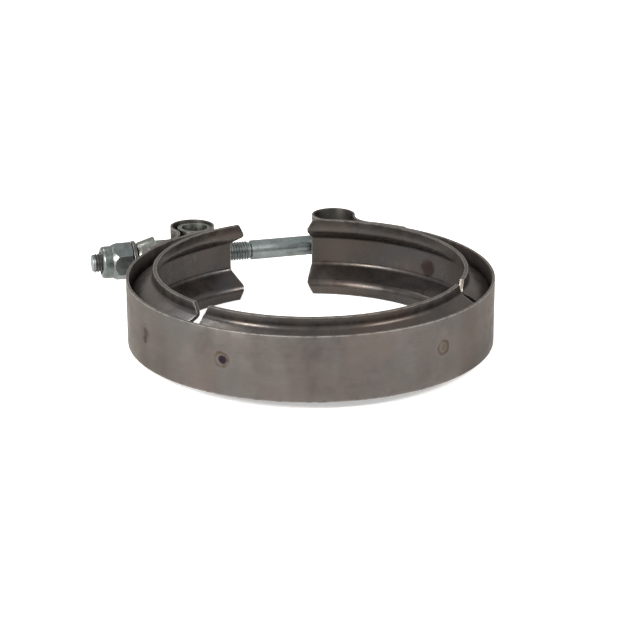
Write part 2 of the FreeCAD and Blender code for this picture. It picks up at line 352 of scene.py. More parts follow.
def spin_half_strip(piece):
    """Spins an upright edge from the front of the ring round the +X loop and on to its lap."""
    lap_radius = BAND_RADIUS + LAP_GAP + STRIP_SHEET / 2
    reach = lap_radius + REVERSE_BEND
    apart = LOOP_BEND + REVERSE_BEND
    at_loop = math.degrees(math.acos((LOOP_REACH ** 2 + apart ** 2 - reach ** 2)
                                     / (2 * LOOP_REACH * apart)))
    at_reverse = math.degrees(math.acos((reach ** 2 + apart ** 2 - LOOP_REACH ** 2)
                                        / (2 * reach * apart)))
    loop_angle = 90 - math.degrees(math.asin(LOOP_X / LOOP_REACH))
    reverse_angle = loop_angle - (180 - at_loop - at_reverse)
    spin_by(90 + loop_angle, ORIGIN, AXIS_Z, RING_STEPS)
    spin_by(at_loop - 360, polar(LOOP_REACH, loop_angle), AXIS_Z, LOOP_STEPS)
    spin_by(at_reverse, polar(reach, reverse_angle), AXIS_Z, REVERSE_STEPS)
    spin_by(-math.degrees(LAP_LENGTH / lap_radius), ORIGIN, AXIS_Z, LAP_STEPS)


def make_strip():
    strip = start_from_a_point("strip", (0, -STRIP_RADIUS, -HALF_WIDTH))
    extrude_by((0, 0, 2 * HALF_WIDTH))
    bpy.ops.mesh.select_all(action="SELECT")
    spin_half_strip(strip)
    stop_editing()
    apply_modifier(strip, "MIRROR", use_axis=(True, False, False), use_mirror_merge=True)
    edit(strip)
    merge_and_face_outwards(strip)
    stop_editing()
    thicken(strip, STRIP_SHEET)
    shank_window = bar_along_x("shank_window", BOLT_SLOT_DEPTH, BOLT_SLOT, BOLT_SLOT / 2 - MEETS,
                               -LOOP_X, LOOP_X)
    neck_window = bar_along_x("neck_window", 2 * LOOP_INSIDE, NECK_SLOT, NECK_CORNER,
                              -LOOP_X - LOOP_DIAMETER, -LOOP_X)
    combine(strip, shank_window, "DIFFERENCE")
    combine(strip, neck_window, "DIFFERENCE")
    combine(strip, make_weld_dents(), "DIFFERENCE")
    round_edges(strip, STRIP_EDGE, sharper_than=50)
    return strip


def make_weld_dents():
    """Shallow balls that press a dent into the strip's outside at each spot weld."""
    ball = (WELD_RADIUS ** 2 + WELD_DENT ** 2) / (2 * WELD_DENT)
    dents = []
    for angle, height in WELDS:
        clear_selection()
        place = polar(BAND_RADIUS + ball - WELD_DENT, angle, height)
        bpy.ops.mesh.primitive_uv_sphere_add(segments=96, ring_count=96, radius=ball, location=place,
                                             rotation=(0, math.radians(90), math.radians(angle)))
        dents.append(bpy.context.object)
        place_in_mesh(dents[-1])
        edit(dents[-1])
        outwards = polar(1, angle)
        skin = BAND_RADIUS + WELD_DENT
        pick(dents[-1], lambda item: item.co.dot(outwards) > skin)
        bpy.ops.mesh.delete(type="VERT")
        bpy.ops.mesh.select_all(action="SELECT")
        bpy.ops.mesh.fill_holes(sides=0)
        merge_and_face_outwards(dents[-1])
        stop_editing()
    return join(dents)


# ------------------------------------------------------------------ retainers

def draw_v(piece):
    """Draws the middle line of the V upwards from the lower lip, at angle 0 of the ring."""
    half_bends = (WEB_BEND + LIP_BEND) * (1 - math.cos(math.radians(LEG_TURN)))
    leg = (WEB_RADIUS - LIP_MIDDLE - half_bends) / math.sin(math.radians(LEG_TURN))
    moves = [("flat", LIP_FLAT), ("bend", LIP_BEND, -LEG_TURN), ("flat", leg), ("bend", WEB_BEND, LEG_TURN),
             ("flat", WEB_FLAT), ("bend", WEB_BEND, LEG_TURN), ("flat", leg),
             ("bend", LIP_BEND, -LEG_TURN), ("flat", LIP_FLAT)]
    place = Vector((LIP_MIDDLE, 0, -lip_top()))
    heading = 90
    for kind, *amounts in moves:
        along = Vector((math.cos(math.radians(heading)), 0, math.sin(math.radians(heading))))
        if kind == "flat":
            extrude_by(along * amounts[0])
            place = place + along * amounts[0]
            continue
        radius, turn = amounts
        side = math.copysign(1, turn)
        left = Vector((-along.z, 0, along.x))
        centre = place + left * radius * side
        spin_by(-turn, centre, AXIS_Y, BEND_STEPS)
        spoke = math.radians(heading + turn - 90 * side)
        place = centre + Vector((math.cos(spoke), 0, math.sin(spoke))) * radius
        heading = heading + turn


def lip_top():
    turn = math.radians(LEG_TURN)
    leg = (WEB_RADIUS - LIP_MIDDLE - (WEB_BEND + LIP_BEND) * (1 - math.cos(turn))) / math.sin(turn)
    rise = leg * math.cos(turn) + (WEB_BEND + LIP_BEND) * math.sin(turn)
    return WEB_FLAT / 2 + rise + LIP_FLAT


def run_on_angle():
    """How far the lips run on past the web's end, in degrees."""
    run_on = (WEB_RADIUS - LIP_RADIUS) * math.tan(math.radians(END_RAKE))
    return math.degrees(math.asin(run_on / LIP_RADIUS))


def cut_away(place, outwards):
    """Cuts off all that lies past a plane."""
    bpy.ops.mesh.select_all(action="SELECT")
    bpy.ops.mesh.bisect(plane_co=tuple(place), plane_no=tuple(outwards.normalized()), clear_outer=True,
                        threshold=MEETS)


def trim_end(piece, angle, way):
    """Rakes one end of a retainer, takes off its lips' corners and rounds what is left."""
    along = polar(1, angle + 90) * way
    inwards = -polar(math.cos(math.radians(END_RAKE)), angle) + along * math.sin(math.radians(END_RAKE))
    web_end = polar(WEB_RADIUS, angle)
    bend_top = lip_top() - LIP_FLAT - LIP_BEND * math.tan(math.radians(LEG_TURN / 2))
    cut_away(web_end, inwards.cross(AXIS_Z) * way)
    for up in (1, -1):
        slant = -along * LIP_CHAMFER + AXIS_Z * up * (lip_top() - bend_top)
        cut_away(web_end + AXIS_Z * up * bend_top, inwards.cross(slant) * way * up)
    corner_height = bend_top
    end_face = inwards.cross(AXIS_Z).normalized()

    def is_corner(item):
        on_end = abs((item.co - web_end).dot(end_face)) < 10 * MEETS
        return on_end and abs(abs(item.co.z) - corner_height) < 10 * MEETS
    pick(piece, is_corner)
    bpy.ops.mesh.bevel(offset=END_CORNER / 2, segments=4, affect="VERTICES")


def make_retainer(name, start, end):
    """A V retainer between two angles, anticlockwise from +X, at the web's ends."""
    piece = start_from_a_point(name, (LIP_MIDDLE, 0, -lip_top()))
    draw_v(piece)
    overrun = 2 * run_on_angle()
    bpy.ops.mesh.select_all(action="SELECT")
    bpy.ops.transform.rotate(value=-math.radians(start - overrun), orient_axis="Z", center_override=(0, 0, 0))
    steps = round((end - start + 2 * overrun) / RETAINER_STEP)
    spin_by(end - start + 2 * overrun, ORIGIN, AXIS_Z, steps)
    merge_and_face_outwards(piece)
    trim_end(piece, start, -1)
    trim_end(piece, end, 1)
    stop_editing()
    thicken(piece, RETAINER_SHEET)
    round_edges(piece, SHEET_EDGE, segments=3, sharper_than=50)
    return piece


def make_retainers():
    front = -90 + FRONT_TURN
    latch = 90 + LATCH_TURN
    shank_low = BOLT_Y - SHANK_DIAMETER / 2
    clear_angle = math.degrees(math.acos((shank_low - LATCH_CLEARANCE) / BACK_RADIUS))
    latch_angle = clear_angle + abs(LATCH_TURN)
    right_hinge = front + FRONT_SPAN / 2
    left_hinge = front - FRONT_SPAN / 2
    right_setback = math.degrees(RIGHT_HINGE_GAP / LIP_RADIUS) / 2 + run_on_angle()
    left_setback = math.degrees(LEFT_HINGE_GAP / LIP_RADIUS) / 2 + run_on_angle()
    return {
        "retainer_front": make_retainer("front_retainer", left_hinge + left_setback,
                                        right_hinge - right_setback),
        "retainer_right": make_retainer("right_retainer", right_hinge + right_setback, latch - latch_angle),
        "retainer_left": make_retainer("left_retainer", latch + latch_angle, 360 + left_hinge - left_setback),
    }


# ------------------------------------------------------------------ T-bolt

def make_thread(name, x_from, x_to, outline, crest_radius, depth):
    """Screw thread round the bolt's axis, trimmed by a turned outline."""
    quarter = THREAD_PITCH / 4
    root_radius = crest_radius - depth
    piece = start_from_a_point(name, (x_from - 2 * THREAD_PITCH, 0, root_radius))
    extrude_by((quarter * THREAD_ROOT, 0, 0))
    extrude_by((quarter * THREAD_FLANK, 0, depth))
    extrude_by((quarter * THREAD_CREST, 0, 0))
    extrude_by((quarter * THREAD_FLANK, 0, -depth))
    stop_editing()
    turns = math.ceil((x_to - x_from) / THREAD_PITCH) + 4
    apply_modifier(piece, "SCREW", axis="X", angle=2 * math.pi, screw_offset=THREAD_PITCH, iterations=turns,
                   steps=THREAD_STEPS, render_steps=THREAD_STEPS, use_merge_vertices=True,
                   merge_threshold=MEETS)
    piece.location = BOLT_CENTRE
    place_in_mesh(piece)
    edit(piece)
    bpy.ops.mesh.select_all(action="SELECT")
    bpy.ops.mesh.remove_doubles(threshold=MEETS)
    bpy.ops.mesh.select_all(action="SELECT")
    bpy.ops.mesh.fill_holes(sides=0)
    merge_and_face_outwards(piece)
    stop_editing()
    combine(piece, turned("thread_limits", outline), "INTERSECT")
    return piece


def make_t_bolt():
    head_radius = HEAD_DIAMETER / 2
    head_x = LOOP_X - (LOOP_INSIDE - head_radius - HEAD_SEAT)
    shank_radius = SHANK_DIAMETER / 2
    bolt_radius = BOLT_DIAMETER / 2
    groove_radius = bolt_radius - RUNOUT_DEPTH - THREAD_DEPTH / 3
    tip_x = bolt_low[0]
    runout_x = LOOP_X - PLAIN_SHANK
    thread_end = runout_x - RUNOUT_LENGTH
    thread = make_thread("bolt_thread", tip_x, thread_end, [
        (tip_x, 0), (tip_x, TIP_DIAMETER / 2), (tip_x + TIP_CHAMFER, bolt_radius), (thread_end, bolt_radius),
        (thread_end + RUNOUT_DEPTH, groove_radius), (runout_x, groove_radius), (runout_x, 0),
    ], bolt_radius, THREAD_DEPTH)
    flare_radius = shank_radius + SHANK_FLARE
    flare_x = head_x - math.sqrt(head_radius ** 2 - flare_radius ** 2)
    flare_start = flare_x - FLARE_LENGTH
    flare = [(flare_start + FLARE_LENGTH * part, shank_radius + SHANK_FLARE * part ** 2)
             for part in FLARE_PLACES]
    shank = turned("shank", [
        (runout_x - MEETS, 0), (runout_x - MEETS, groove_radius), (runout_x + RUNOUT_DEPTH, shank_radius),
        (flare_start, shank_radius), *flare, (head_x, flare_radius), (head_x, 0),
    ])
    head_height = 2 * (HALF_WIDTH - HEAD_RECESS)
    bolt = upright_cylinder("t_bolt_visual", head_x, head_radius, head_height, HEAD_EDGE)
    combine(bolt, shank, "UNION")
    combine(bolt, thread, "UNION")
    return bolt


# ------------------------------------------------------------------ trunnion

def make_trunnion():
    seat_x = trunnion_low[0]
    barrel_radius = BARREL_DIAMETER / 2
    barrel_x = -LOOP_X + LOOP_INSIDE - barrel_radius - HEAD_SEAT
    barrel_height = 2 * (HALF_WIDTH - BARREL_RECESS)
    rim_x = seat_x + SADDLE_LENGTH
    seat_radius = SADDLE_SEAT_DIAMETER / 2
    rim_radius = SADDLE_RIM_DIAMETER / 2
    bore_radius = TRUNNION_BORE / 2
    trunnion = upright_cylinder("trunnion_visual", barrel_x, barrel_radius, barrel_height)
    neck_depth = NECK_INSIDE_DEPTH + 2 * TRUNNION_SHEET
    neck = bar_along_x("neck", neck_depth, NECK_HEIGHT, NECK_CORNER, seat_x + TRUNNION_SHEET, barrel_x)
    saddle = turned("saddle", [
        (seat_x, bore_radius), (seat_x, seat_radius - SADDLE_EDGE),
        (seat_x + SADDLE_EDGE * 0.3, seat_radius - SADDLE_EDGE * 0.3), (seat_x + SADDLE_EDGE, seat_radius),
        (rim_x, rim_radius), (rim_x, rim_radius - TRUNNION_SHEET),
        (rim_x - SADDLE_HOLLOW, bore_radius + TRUNNION_SHEET), (rim_x - SADDLE_HOLLOW, bore_radius),
    ], closed=True)
    combine(trunnion, neck, "UNION")
    combine(trunnion, saddle, "UNION")
    inside_barrel = upright_cylinder("inside_barrel", barrel_x, barrel_radius - TRUNNION_SHEET, LONG)
    inside_neck = bar_along_x("inside_neck", NECK_INSIDE_DEPTH, NECK_HEIGHT - 2 * TRUNNION_SHEET,
                              NECK_CORNER - TRUNNION_SHEET, seat_x + TRUNNION_SHEET, barrel_x)
    shank_hole = turned("shank_hole", [
        (barrel_x, 0), (barrel_x, BOLT_SLOT / 2), (barrel_x + LOOP_X, BOLT_SLOT / 2), (barrel_x + LOOP_X, 0),
    ])
    combine(trunnion, inside_barrel, "DIFFERENCE")
    combine(trunnion, inside_neck, "DIFFERENCE")
    combine(trunnion, shank_hole, "DIFFERENCE")
    round_edges(trunnion, TRUNNION_EDGE, sharper_than=40)
    return trunnion


# ------------------------------------------------------------------ washer and nut

def make_washer():
    rim_radius = (washer_high[2] - washer_low[2]) / 2
    washer = turned("washer_visual", [
        (washer_high[0], WASHER_BORE / 2), (washer_high[0], rim_radius),
        (washer_low[0], rim_radius), (washer_low[0], WASHER_BORE / 2),
    ], closed=True)
    round_edges(washer, RING_EDGE, segments=3)
    return washer


def make_lock_nut():
    nut_x = nut_high[0]
    collar_end = nut_low[0]
    hex_end = nut_x - HEX_LENGTH
    corner_radius = NUT_FLATS / math.sqrt(3)
    face_radius = NUT_FACE_DIAMETER / 2
    drop = corner_radius - face_radius
    clear_selection()
    bpy.ops.mesh.primitive_cylinder_add(vertices=6, radius=corner_radius, depth=HEX_LENGTH,
                                        location=((nut_x + hex_end) / 2, BOLT_Y, 0),
                                        rotation=(0, math.radians(90), 0))
    nut = bpy.context.object
    nut.name = "lock_nut_visual"
    place_in_mesh(nut)
    edit(nut)
    bpy.ops.mesh.select_all(action="SELECT")
    bpy.ops.transform.rotate(value=math.radians(30), orient_axis="X",
                             center_override=tuple(BOLT_CENTRE))
    stop_editing()
    corners = turned("corner_limits", [
        (nut_x, 0), (nut_x, face_radius),
        (nut_x - drop * math.tan(math.radians(BEARING_CHAMFER)), corner_radius + MEETS),
        (hex_end + drop * math.tan(math.radians(COLLAR_CHAMFER)), corner_radius + MEETS),
        (hex_end, face_radius), (hex_end, 0),
    ])
    combine(nut, corners, "INTERSECT")
    collar_radius = COLLAR_DIAMETER / 2
    roll = [(collar_end + COLLAR_EDGE * (1 - math.sin(math.radians(turn))),
             collar_radius - COLLAR_EDGE * (1 - math.cos(math.radians(turn))))
            for turn in COLLAR_ROLL]
    collar = turned("collar", [(hex_end + INSERT_LIP, 0), (hex_end + INSERT_LIP, collar_radius), *roll,
                               (collar_end, 0)])
    combine(nut, collar, "UNION")
    pocket_start = collar_end + INSERT_LIP + INSERT_LENGTH
    pocket_radius = NUT_BORE / 2 + INSERT_WALL
    bore = turned("bore", [
        (nut_x + OVERSHOOT, 0), (nut_x + OVERSHOOT, NUT_BORE / 2 + BORE_CHAMFER + OVERSHOOT),
        (nut_x - BORE_CHAMFER, NUT_BORE / 2), (pocket_start, NUT_BORE / 2), (pocket_start, pocket_radius),
        (collar_end + INSERT_LIP, pocket_radius), (collar_end + INSERT_LIP, NUT_LIP_BORE / 2),
        (collar_end - OVERSHOOT, NUT_LIP_BORE / 2), (collar_end - OVERSHOOT, 0),
    ])
    combine(nut, bore, "DIFFERENCE")
    round_edges(nut, NUT_EDGE, sharper_than=24)
    return nut


def make_nut_insert():
    outer_radius = (insert_high[2] - insert_low[2]) / 2
    insert = turned("nut_insert_visual", [
        (insert_high[0], NUT_BORE / 2), (insert_high[0], outer_radius),
        (insert_low[0], outer_radius), (insert_low[0], NUT_BORE / 2),
    ], closed=True)
    round_edges(insert, RING_EDGE, segments=3)
    return insert


# ------------------------------------------------------------------ node helpers

def add(tree, kind, inputs=None, **settings):
    """Adds a node, with settings on the node and values or links on its inputs."""
    made = tree.nodes.new(kind)
    for key, value in settings.items():
        setattr(made, key, value)
    for key, value in (inputs or {}).items():
        if isinstance(value, bpy.types.NodeSocket):
            tree.links.new(value, made.inputs[key])
        else:
            made.inputs[key].default_value = value
    return made


def maths(tree, operation, first, second=0.0):
    return add(tree, "ShaderNodeMath", {0: first, 1: second}, operation=operation).outputs[0]


def spread(tree, value, low, high, to_low=0.0, to_high=1.0):
    """Stretches part of a value's range over another range, smoothly and clamped."""
    ranged = add(tree, "ShaderNodeMapRange", {"Value": value, "From Min": low, "From Max": high,
                                              "To Min": to_low, "To Max": to_high},
                 interpolation_type="SMOOTHSTEP")
    return ranged.outputs["Result"]


def blend(tree, amount, below, above):
    """Mixes two colours by an amount."""
    mixed = add(tree, "ShaderNodeMix", data_type="RGBA")
    sockets = {0: amount, 6: below, 7: above}
    for index, value in sockets.items():
        if isinstance(value, bpy.types.NodeSocket):
            tree.links.new(value, mixed.inputs[index])
        else:
            mixed.inputs[index].default_value = value if index == 0 else (*value, 1)
    return mixed.outputs[2]


def noise(tree, vector, scale, detail=3.0, roughness=0.5, stretch=None):
    """Noise on a place, stretched along each direction by how slowly it should change there."""
    if stretch:
        vector = add(tree, "ShaderNodeMapping", {"Vector": vector, "Scale": stretch}).outputs[0]
    made = add(tree, "ShaderNodeTexNoise", {"Vector": vector, "Scale": scale, "Detail": detail,
                                            "Roughness": roughness})
    return made.outputs["Fac"]


def start_group(name, inputs, outputs):
    group = bpy.data.node_groups.new(name, "ShaderNodeTree")
    for socket, kind in inputs:
        group.interface.new_socket(socket, in_out="INPUT", socket_type=kind)
    for socket in outputs:
        group.interface.new_socket(socket, in_out="OUTPUT", socket_type="NodeSocketFloat")
    return group, group.nodes.new("NodeGroupInput"), group.nodes.new("NodeGroupOutput")


def use_group(tree, group, inputs):
    made = tree.nodes.new("ShaderNodeGroup")
    made.node_tree = group
    for key, value in inputs.items():
        if isinstance(value, bpy.types.NodeSocket):
            tree.links.new(value, made.inputs[key])
        else:
            made.inputs[key].default_value = value
    return made


# ------------------------------------------------------------------ shared effects

def make_rolled_grain():
    """Fine lines along the strip, broken up, as rolling leaves them."""
    group, entry, out = start_group("rolled_grain", [("Vector", "NodeSocketVector")], ["Value"])
    coarse = noise(group, entry.outputs["Vector"], 1.0, 2.0, 0.6, (60, 60, 1400))
    fine = noise(group, entry.outputs["Vector"], 1.0, 3.0, 0.7, (160, 160, 5200))
    both = maths(group, "ADD", maths(group, "MULTIPLY", coarse, 0.5), maths(group, "MULTIPLY", fine, 0.5))
    group.links.new(spread(group, both, 0.3, 0.7), out.inputs["Value"])
    return group


def make_mottle():
    """Soft uneven patches, with smaller ones inside them."""
    group, entry, out = start_group("mottle", [("Vector", "NodeSocketVector"),
                                               ("Scale", "NodeSocketFloat")], ["Large", "Small"])
    large = noise(group, entry.outputs["Vector"], entry.outputs["Scale"], 2.0, 0.5)
    finer = maths(group, "MULTIPLY", entry.outputs["Scale"], 6.5)
    small = noise(group, entry.outputs["Vector"], finer, 4.0, 0.6)
    group.links.new(spread(group, large, 0.32, 0.68), out.inputs["Large"])
    group.links.new(spread(group, small, 0.3, 0.7), out.inputs["Small"])
    return group


def make_edge_wear_and_highlight():
    """Where an edge is rubbed bright and a painted highlight runs along it, from how far the surface turns
    within a small radius.
    """
    group, entry, out = start_group("edge_wear_and_highlight", [("Vector", "NodeSocketVector"),
                                                  ("Radius", "NodeSocketFloat")], ["Mask"])
    geometry = add(group, "ShaderNodeNewGeometry")
    rounded = add(group, "ShaderNodeBevel", {"Radius": entry.outputs["Radius"]}, samples=4)
    facing = add(group, "ShaderNodeVectorMath", {0: rounded.outputs[0], 1: geometry.outputs["True Normal"]},
                 operation="DOT_PRODUCT").outputs["Value"]
    turned_away = spread(group, facing, 0.998, 0.9)
    broken = noise(group, entry.outputs["Vector"], 420.0, 3.0, 0.6)
    wear_and_highlight = maths(group, "MULTIPLY", turned_away, spread(group, broken, 0.32, 0.56, 0.25, 1.0))
    group.links.new(wear_and_highlight, out.inputs["Mask"])
    return group


def make_specks():
    """Small scattered pits and grains of dirt."""
    group, entry, out = start_group("specks", [("Vector", "NodeSocketVector"), ("Scale", "NodeSocketFloat"),
                                               ("Size", "NodeSocketFloat")], ["Mask"])
    cells = add(group, "ShaderNodeTexVoronoi", {"Vector": entry.outputs["Vector"],
                                                "Scale": entry.outputs["Scale"]})
    near = maths(group, "LESS_THAN", cells.outputs["Distance"], entry.outputs["Size"])
    chosen = maths(group, "GREATER_THAN", cells.outputs["Color"], 0.62)
    group.links.new(maths(group, "MULTIPLY", near, chosen), out.inputs["Mask"])
    return group


def make_scratches():
    """Short hairlines along the ring, and finer ones across it where the sheet was formed."""
    group, entry, out = start_group("scratches", [("Vector", "NodeSocketVector")], ["Along", "Across"])
    lines = noise(group, entry.outputs["Vector"], 1.0, 1.0, 0.4, (70, 70, 3000))
    patches = spread(group, noise(group, entry.outputs["Vector"], 110.0, 2.0), 0.46, 0.64)
    along = maths(group, "MULTIPLY", spread(group, lines, 0.6, 0.72), patches)
    group.links.new(along, out.inputs["Along"])
    parts = add(group, "ShaderNodeSeparateXYZ", {0: entry.outputs["Vector"]}).outputs
    angle = maths(group, "ARCTAN2", parts["Y"], parts["X"])
    unrolled = add(group, "ShaderNodeCombineXYZ", {0: maths(group, "MULTIPLY", angle, BAND_RADIUS),
                                                   1: parts["Z"]}).outputs[0]
    hatching = noise(group, unrolled, 1.0, 2.0, 0.6, (2600, 240, 1))
    places = spread(group, noise(group, unrolled, 1.0, 2.0, 0.5, (70, 160, 1)), 0.5, 0.66)
    across = maths(group, "MULTIPLY", spread(group, hatching, 0.52, 0.7), places)
    group.links.new(across, out.inputs["Across"])
    return group


def make_weld_mark():
    """A spot weld's heat ring, burnt core and haze, all uneven. A core may sit off the ring's centre."""
    group, entry, out = start_group("weld_mark", [
        ("Vector", "NodeSocketVector"), ("Centre", "NodeSocketVector"),
        ("Core", "NodeSocketVector"), ("Radius", "NodeSocketFloat"),
    ], ["Ring", "Core", "Haze"])
    wobble = maths(group, "SUBTRACT", noise(group, entry.outputs["Vector"], 620.0, 3.0, 0.6), 0.5)
    patchy = spread(group, noise(group, entry.outputs["Vector"], 480.0, 2.0), 0.36, 0.58, 0.35, 1.0)
    ratios = []
    for centre in ("Centre", "Core"):
        away = add(group, "ShaderNodeVectorMath", {0: entry.outputs["Vector"], 1: entry.outputs[centre]},
                   operation="DISTANCE").outputs["Value"]
        ratio = maths(group, "DIVIDE", away, entry.outputs["Radius"])
        ratios.append(maths(group, "ADD", ratio, maths(group, "MULTIPLY", wobble, 0.36)))
    ring = maths(group, "MULTIPLY", spread(group, ratios[0], 0.6, 0.84),
                 spread(group, ratios[0], 1.25, 0.98))
    group.links.new(maths(group, "MULTIPLY", ring, patchy), out.inputs["Ring"])
    group.links.new(spread(group, ratios[1], 0.74, 0.42), out.inputs["Core"])
    group.links.new(spread(group, ratios[0], 2.0, 0.7), out.inputs["Haze"])
    return group


ROLLED_GRAIN = make_rolled_grain()
MOTTLE = make_mottle()
EDGE_WEAR_AND_HIGHLIGHT = make_edge_wear_and_highlight()
SPECKS = make_specks()
SCRATCHES = make_scratches()
WELD_MARK = make_weld_mark()


# ------------------------------------------------------------------ finishes

def start_material(name):
    material = bpy.data.materials.new(name)
    material.use_nodes = True
    tree = material.node_tree
    place = add(tree, "ShaderNodeTexCoord").outputs["Object"]
    return material, tree, tree.nodes["Principled BSDF"], place


def set_bump(tree, shader, height, distance, strength=1.0):
    bump = add(tree, "ShaderNodeBump", {"Height": height, "Distance": distance, "Strength": strength})
    tree.links.new(bump.outputs["Normal"], shader.inputs["Normal"])


def steel(name, dark, light, warm, cool, metallic, rough, grain_share, hatch_share, wear_and_highlight_share, marks,
          shaded_loop_insides=()):
    """Bare stainless sheet: rolled grain, uneven tone, heat tint, rubbed edges with a painted highlight along
    them, spot welds, and painted shade inside any end loops it is given.
    """
    material, tree, shader, place = start_material(name)
    patches = use_group(tree, MOTTLE, {"Vector": place, "Scale": 45.0})
    bands = noise(tree, place, 1.0, 2.0, 0.5, (75, 75, 12))
    grain = use_group(tree, ROLLED_GRAIN, {"Vector": place}).outputs["Value"]
    specks = use_group(tree, SPECKS, {"Vector": place, "Scale": 700.0, "Size": 0.11}).outputs["Mask"]
    scratches = use_group(tree, SCRATCHES, {"Vector": place})
    wear_and_highlight = use_group(tree, EDGE_WEAR_AND_HIGHLIGHT, {"Vector": place, "Radius": 0.0005}).outputs["Mask"]
    tone = maths(tree, "ADD", maths(tree, "MULTIPLY", patches.outputs["Large"], 0.35),
                 maths(tree, "MULTIPLY", spread(tree, bands, 0.36, 0.64), 0.3))
    tone = maths(tree, "ADD", tone, maths(tree, "MULTIPLY", patches.outputs["Small"], 0.35))
    colour = blend(tree, tone, dark, light)
    tint = noise(tree, place, 60.0, 3.0, 0.55)
    colour = blend(tree, spread(tree, tint, 0.5, 0.7, 0.0, 0.6), colour, warm)
    colour = blend(tree, spread(tree, tint, 0.5, 0.32, 0.0, 0.6), colour, cool)
    colour = blend(tree, maths(tree, "MULTIPLY", grain, grain_share), colour, [0.6 * part for part in light])
    colour = blend(tree, maths(tree, "MULTIPLY", specks, 0.1), colour, [0.4 * part for part in dark])
    colour = blend(tree, maths(tree, "MULTIPLY", scratches.outputs["Along"], 0.12), colour,
                   [1.6 * part for part in light])
    colour = blend(tree, maths(tree, "MULTIPLY", scratches.outputs["Across"], hatch_share), colour,
                   [2.4 * part for part in light])
    # Edges lightened: partly real wear, partly a painted highlight along the rims and edges.
    colour = blend(tree, maths(tree, "MULTIPLY", wear_and_highlight, wear_and_highlight_share), colour, (0.42, 0.4, 0.375))
    # Painted shade: the inside faces of the end loops are darkened to near black, for the shade inside each
    # loop.
    for loop_centre in shaded_loop_insides:
        flat = add(tree, "ShaderNodeVectorMath", {0: place, 1: (1, 1, 0)}, operation="MULTIPLY").outputs[0]
        away = add(tree, "ShaderNodeVectorMath", {0: flat, 1: loop_centre},
                   operation="DISTANCE").outputs["Value"]
        inside = spread(tree, away, LOOP_BEND, LOOP_BEND - STRIP_SHEET / 3)
        colour = blend(tree, maths(tree, "MULTIPLY", inside, 0.75), colour, (0.034, 0.035, 0.032))
    for centre, core, radius, ring_share, ring_tone, core_share, core_tone in marks:
        mark = use_group(tree, WELD_MARK, {"Vector": place, "Centre": centre, "Core": core, "Radius": radius})
        colour = blend(tree, maths(tree, "MULTIPLY", mark.outputs["Haze"], 0.3 * ring_share), colour, light)
        colour = blend(tree, maths(tree, "MULTIPLY", mark.outputs["Ring"], ring_share), colour, ring_tone)
        colour = blend(tree, maths(tree, "MULTIPLY", mark.outputs["Core"], core_share), colour, core_tone)
    tree.links.new(colour, shader.inputs["Base Color"])
    shader.inputs["Metallic"].default_value = metallic
    shader.inputs["Specular Tint"].default_value = (0.55, 0.53, 0.5, 1)
    uneven = spread(tree, patches.outputs["Small"], 0.0, 1.0, rough - 0.05, rough + 0.07)
    tree.links.new(maths(tree, "ADD", uneven, maths(tree, "MULTIPLY", grain, 0.05)),
                   shader.inputs["Roughness"])
    height = maths(tree, "SUBTRACT", maths(tree, "MULTIPLY", grain, 0.4),
                   maths(tree, "MULTIPLY", specks, 0.06))
    cuts = maths(tree, "ADD", maths(tree, "MULTIPLY", scratches.outputs["Along"], 0.08),
                 maths(tree, "MULTIPLY", scratches.outputs["Across"], hatch_share))
    set_bump(tree, shader, maths(tree, "SUBTRACT", height, cuts), 0.000015, 0.25)
    return material


def plated(name, dark, light, stain, rough_low, rough_high, pits, wear_and_highlight_share, oiled_from=None):
    """Plated steel: crystal-sized tone changes, a chromate stain, pits and rubbed edges with a painted
    highlight along them.
    """
    material, tree, shader, place = start_material(name)
    patches = use_group(tree, MOTTLE, {"Vector": place, "Scale": 190.0})
    cells = add(tree, "ShaderNodeTexVoronoi", {"Vector": place, "Scale": 1500.0})
    crystal = add(tree, "ShaderNodeSeparateColor", {0: cells.outputs["Color"]}).outputs["Red"]
    specks = use_group(tree, SPECKS, {"Vector": place, "Scale": 1700.0, "Size": 0.2}).outputs["Mask"]
    wear_and_highlight = use_group(tree, EDGE_WEAR_AND_HIGHLIGHT, {"Vector": place, "Radius": 0.0003}).outputs["Mask"]
    tone = maths(tree, "ADD", maths(tree, "MULTIPLY", patches.outputs["Large"], 0.45),
                 maths(tree, "MULTIPLY", patches.outputs["Small"], 0.35))
    tone = maths(tree, "ADD", tone, maths(tree, "MULTIPLY", crystal, 0.2))
    colour = blend(tree, tone, dark, light)
    stained = noise(tree, place, 260.0, 3.0, 0.6)
    colour = blend(tree, spread(tree, stained, 0.5, 0.7, 0.0, 0.55), colour, stain)
    colour = blend(tree, maths(tree, "MULTIPLY", specks, pits), colour, [0.3 * part for part in dark])
    # Edges lightened: partly real wear, partly a painted highlight along the rims and edges.
    colour = blend(tree, maths(tree, "MULTIPLY", wear_and_highlight, wear_and_highlight_share), colour, (0.6, 0.62, 0.6))
    if oiled_from:
        along = add(tree, "ShaderNodeSeparateXYZ", {0: place}).outputs["X"]
        wander = maths(tree, "MULTIPLY", maths(tree, "SUBTRACT", stained, 0.5), 0.002)
        edge = maths(tree, "ADD", along, wander)
        oiled = maths(tree, "MULTIPLY", spread(tree, edge, oiled_from, oiled_from - 0.0006),
                      spread(tree, edge, oiled_from - 0.0032, oiled_from - 0.0024))
        colour = blend(tree, maths(tree, "MULTIPLY", oiled, 0.6), colour, (0.085, 0.07, 0.066))
    tree.links.new(colour, shader.inputs["Base Color"])
    shader.inputs["Metallic"].default_value = 1.0
    shader.inputs["Specular Tint"].default_value = (0.7, 0.7, 0.68, 1)
    tree.links.new(spread(tree, patches.outputs["Small"], 0.0, 1.0, rough_low, rough_high),
                   shader.inputs["Roughness"])
    height = maths(tree, "SUBTRACT", maths(tree, "MULTIPLY", patches.outputs["Small"], 0.5),
                   maths(tree, "MULTIPLY", specks, 0.6))
    set_bump(tree, shader, height, 0.000016, 0.5)
    return material


